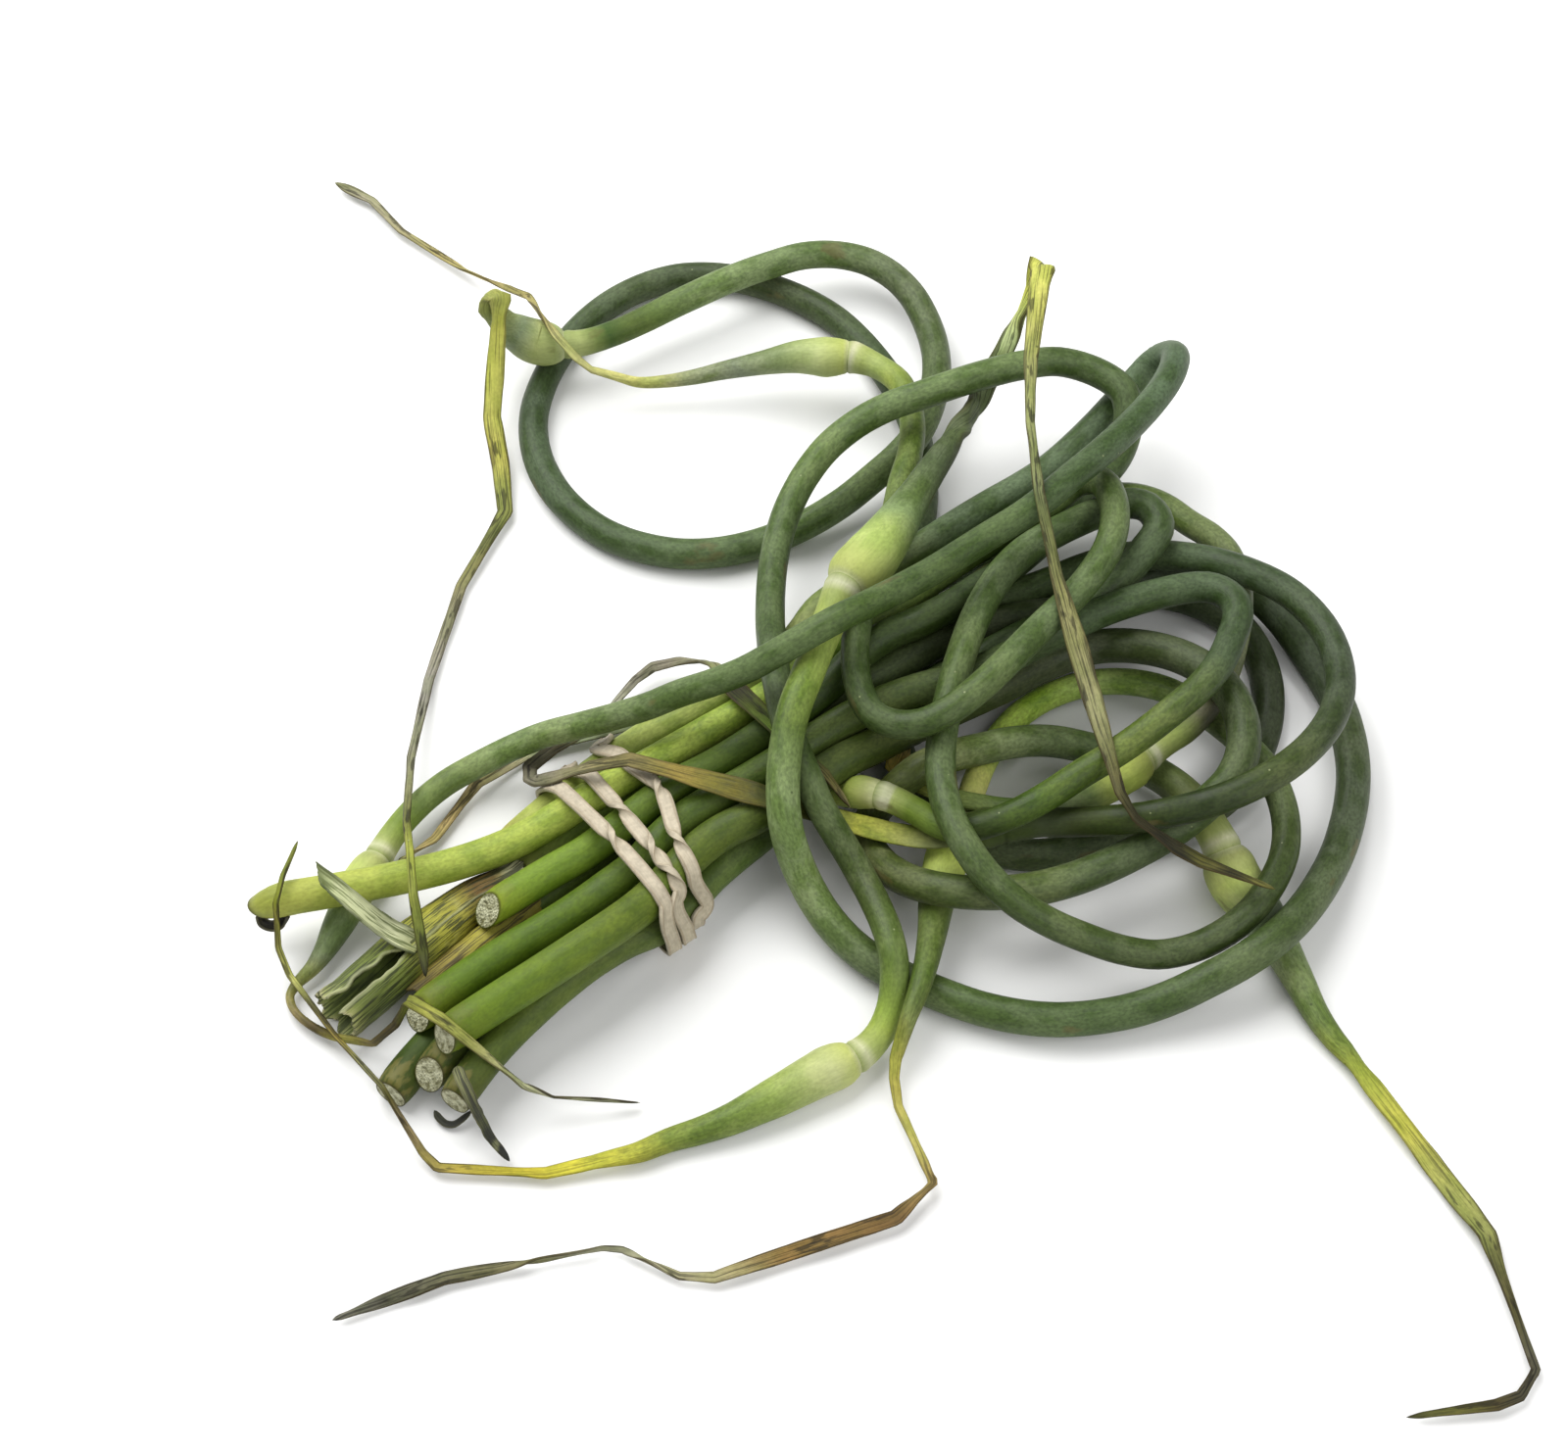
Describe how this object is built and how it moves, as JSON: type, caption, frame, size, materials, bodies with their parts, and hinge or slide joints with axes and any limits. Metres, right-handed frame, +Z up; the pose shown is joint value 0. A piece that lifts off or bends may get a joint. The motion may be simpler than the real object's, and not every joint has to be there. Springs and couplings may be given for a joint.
{
  "type": "garlic scape bunch",
  "caption": "Bunch of long looped garlic scapes with pale flower heads and dry curling beaks, held together near the cut ends by a wound rubber band.",
  "frame": {"origin": "under the middle of the bunch's bounding box, on the surface that it lies on", "axes": "+Z up; the bunched cut ends point towards -X and -Y, the looped stems lie towards +X; +Y is the longest extent"},
  "size_m": [0.3002, 0.379, 0.0574],
  "materials": {
    "scape_skin": "smooth waxy green skin, pale at the flower heads, yellow to brown along the dry beaks",
    "rubber": "matt natural rubber",
    "dry_leaf": "dry fibrous leaf, dull"
  },
  "bodies": {
    "root": {"scape_01": "scape_skin", "scape_02": "scape_skin", "scape_03": "scape_skin", "scape_04": "scape_skin", "scape_05": "scape_skin", "scape_06": "scape_skin", "scape_07": "scape_skin", "scape_08": "scape_skin", "scape_09": "scape_skin", "scape_10": "scape_skin", "rubber_band": "rubber", "leaf_sheath": "dry_leaf", "dry_strip_01": "dry_leaf", "dry_strip_02": "dry_leaf"}
  },
  "joints": []
}
